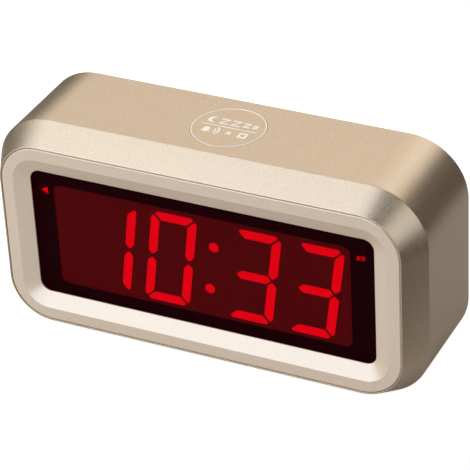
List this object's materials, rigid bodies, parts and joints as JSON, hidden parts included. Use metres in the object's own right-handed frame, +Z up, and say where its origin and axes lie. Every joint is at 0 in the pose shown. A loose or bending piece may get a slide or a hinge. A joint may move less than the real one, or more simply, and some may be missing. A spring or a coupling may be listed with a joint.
{
  "type": "digital alarm clock",
  "caption": "Battery-powered desk alarm clock: rounded box housing with a sloped front band, red seven-segment display, flush snooze key, rear keys and a hinged battery door.",
  "frame": {"origin": "centre of the bounding box at table level, under the feet", "axes": "+X to the right seen from the front, -Y towards the viewer (the display faces -Y), +Z up"},
  "size_m": [0.13, 0.0376, 0.0668],
  "materials": {
    "champagne_paint": "satin metallic champagne paint with a fine grain over moulded plastic",
    "red_lens": "polished transparent red acrylic",
    "mask_print": "black printed mask",
    "reflector_plastic": "dark grey moulded plastic",
    "lit_diffuser": "translucent diffuser lit red from behind",
    "dark_diffuser": "translucent diffuser, unlit",
    "led_chip": "small clear light-emitting chips",
    "circuit_board": "green glass-fibre circuit board",
    "screw_steel": "zinc-plated steel",
    "chip_plastic": "black moulded package",
    "dark_plastic": "fine-textured black moulded plastic",
    "cell_jacket": null,
    "contact_metal": "nickel-plated spring steel",
    "lead_insulation": "PVC insulated lead",
    "capacitor_sleeve": "dark sleeved can",
    "ribbon_grey": "grey flat cable",
    "switch_plastic": "black tact switch",
    "key_plastic": "satin moulded keys",
    "foot_rubber": "soft rubber pad"
  },
  "bodies": {
    "root": {"front_housing": "champagne_paint", "front_bezel": "champagne_paint", "display_lens": "red_lens", "lens_mask": "mask_print", "segment_reflector": "reflector_plastic", "lit_segments": "lit_diffuser", "unlit_segments": "dark_diffuser", "indicator_lights": "lit_diffuser", "led_chips": "led_chip", "display_board": "circuit_board", "display_board_screws": "screw_steel", "display_driver_chip": "chip_plastic", "segment_resistors": "chip_plastic", "rear_cover": "dark_plastic", "case_screws": "screw_steel", "aa_cells": "cell_jacket", "battery_springs": "contact_metal", "contact_plates": "contact_metal", "battery_leads": "lead_insulation", "control_board": "circuit_board", "control_board_screws": "screw_steel", "clock_chip": "chip_plastic", "quartz_crystal": "contact_metal", "smoothing_capacitors": "capacitor_sleeve", "board_ribbon": "ribbon_grey", "key_switches": "switch_plastic", "slide_switches": "contact_metal", "buzzer": "chip_plastic", "snooze_board": "circuit_board", "snooze_board_screws": "screw_steel", "snooze_switch": "switch_plastic", "snooze_cable": "ribbon_grey", "rubber_feet": "foot_rubber"},
    "snooze_button": {"snooze_button": "champagne_paint"},
    "time_key": {"time_key": "key_plastic"},
    "alarm_key": {"alarm_key": "key_plastic"},
    "hour_key": {"hour_key": "key_plastic"},
    "minute_key": {"minute_key": "key_plastic"},
    "alarm_slide": {"alarm_slide": "key_plastic"},
    "brightness_slide": {"brightness_slide": "key_plastic"},
    "battery_door": {"battery_door": "dark_plastic"}
  },
  "joints": [
    {"name": "snooze_press", "type": "slide", "parent": "root", "child": "snooze_button", "axis": [0, 0, -1], "range_m": [0, 0.0006], "stiffness_N_per_m": 1200, "springref_m": -0.0003},
    {"name": "time_key_press", "type": "slide", "parent": "root", "child": "time_key", "axis": [0, -1, 0], "range_m": [0, 0.0006], "stiffness_N_per_m": 900, "springref_m": -0.0003},
    {"name": "alarm_key_press", "type": "slide", "parent": "root", "child": "alarm_key", "axis": [0, -1, 0], "range_m": [0, 0.0006], "stiffness_N_per_m": 900, "springref_m": -0.0003},
    {"name": "hour_key_press", "type": "slide", "parent": "root", "child": "hour_key", "axis": [0, -1, 0], "range_m": [0, 0.0006], "stiffness_N_per_m": 900, "springref_m": -0.0003},
    {"name": "minute_key_press", "type": "slide", "parent": "root", "child": "minute_key", "axis": [0, -1, 0], "range_m": [0, 0.0006], "stiffness_N_per_m": 900, "springref_m": -0.0003},
    {"name": "alarm_slide_travel", "type": "slide", "parent": "root", "child": "alarm_slide", "axis": [1, 0, 0], "range_m": [0, 0.002]},
    {"name": "brightness_slide_travel", "type": "slide", "parent": "root", "child": "brightness_slide", "axis": [1, 0, 0], "range_m": [0, 0.003]},
    {"name": "battery_door_hinge", "type": "hinge", "parent": "root", "child": "battery_door", "pos_m": [0, 0.01665, 0.0059], "axis": [-1, 0, 0], "range_deg": [0, 60]}
  ]
}
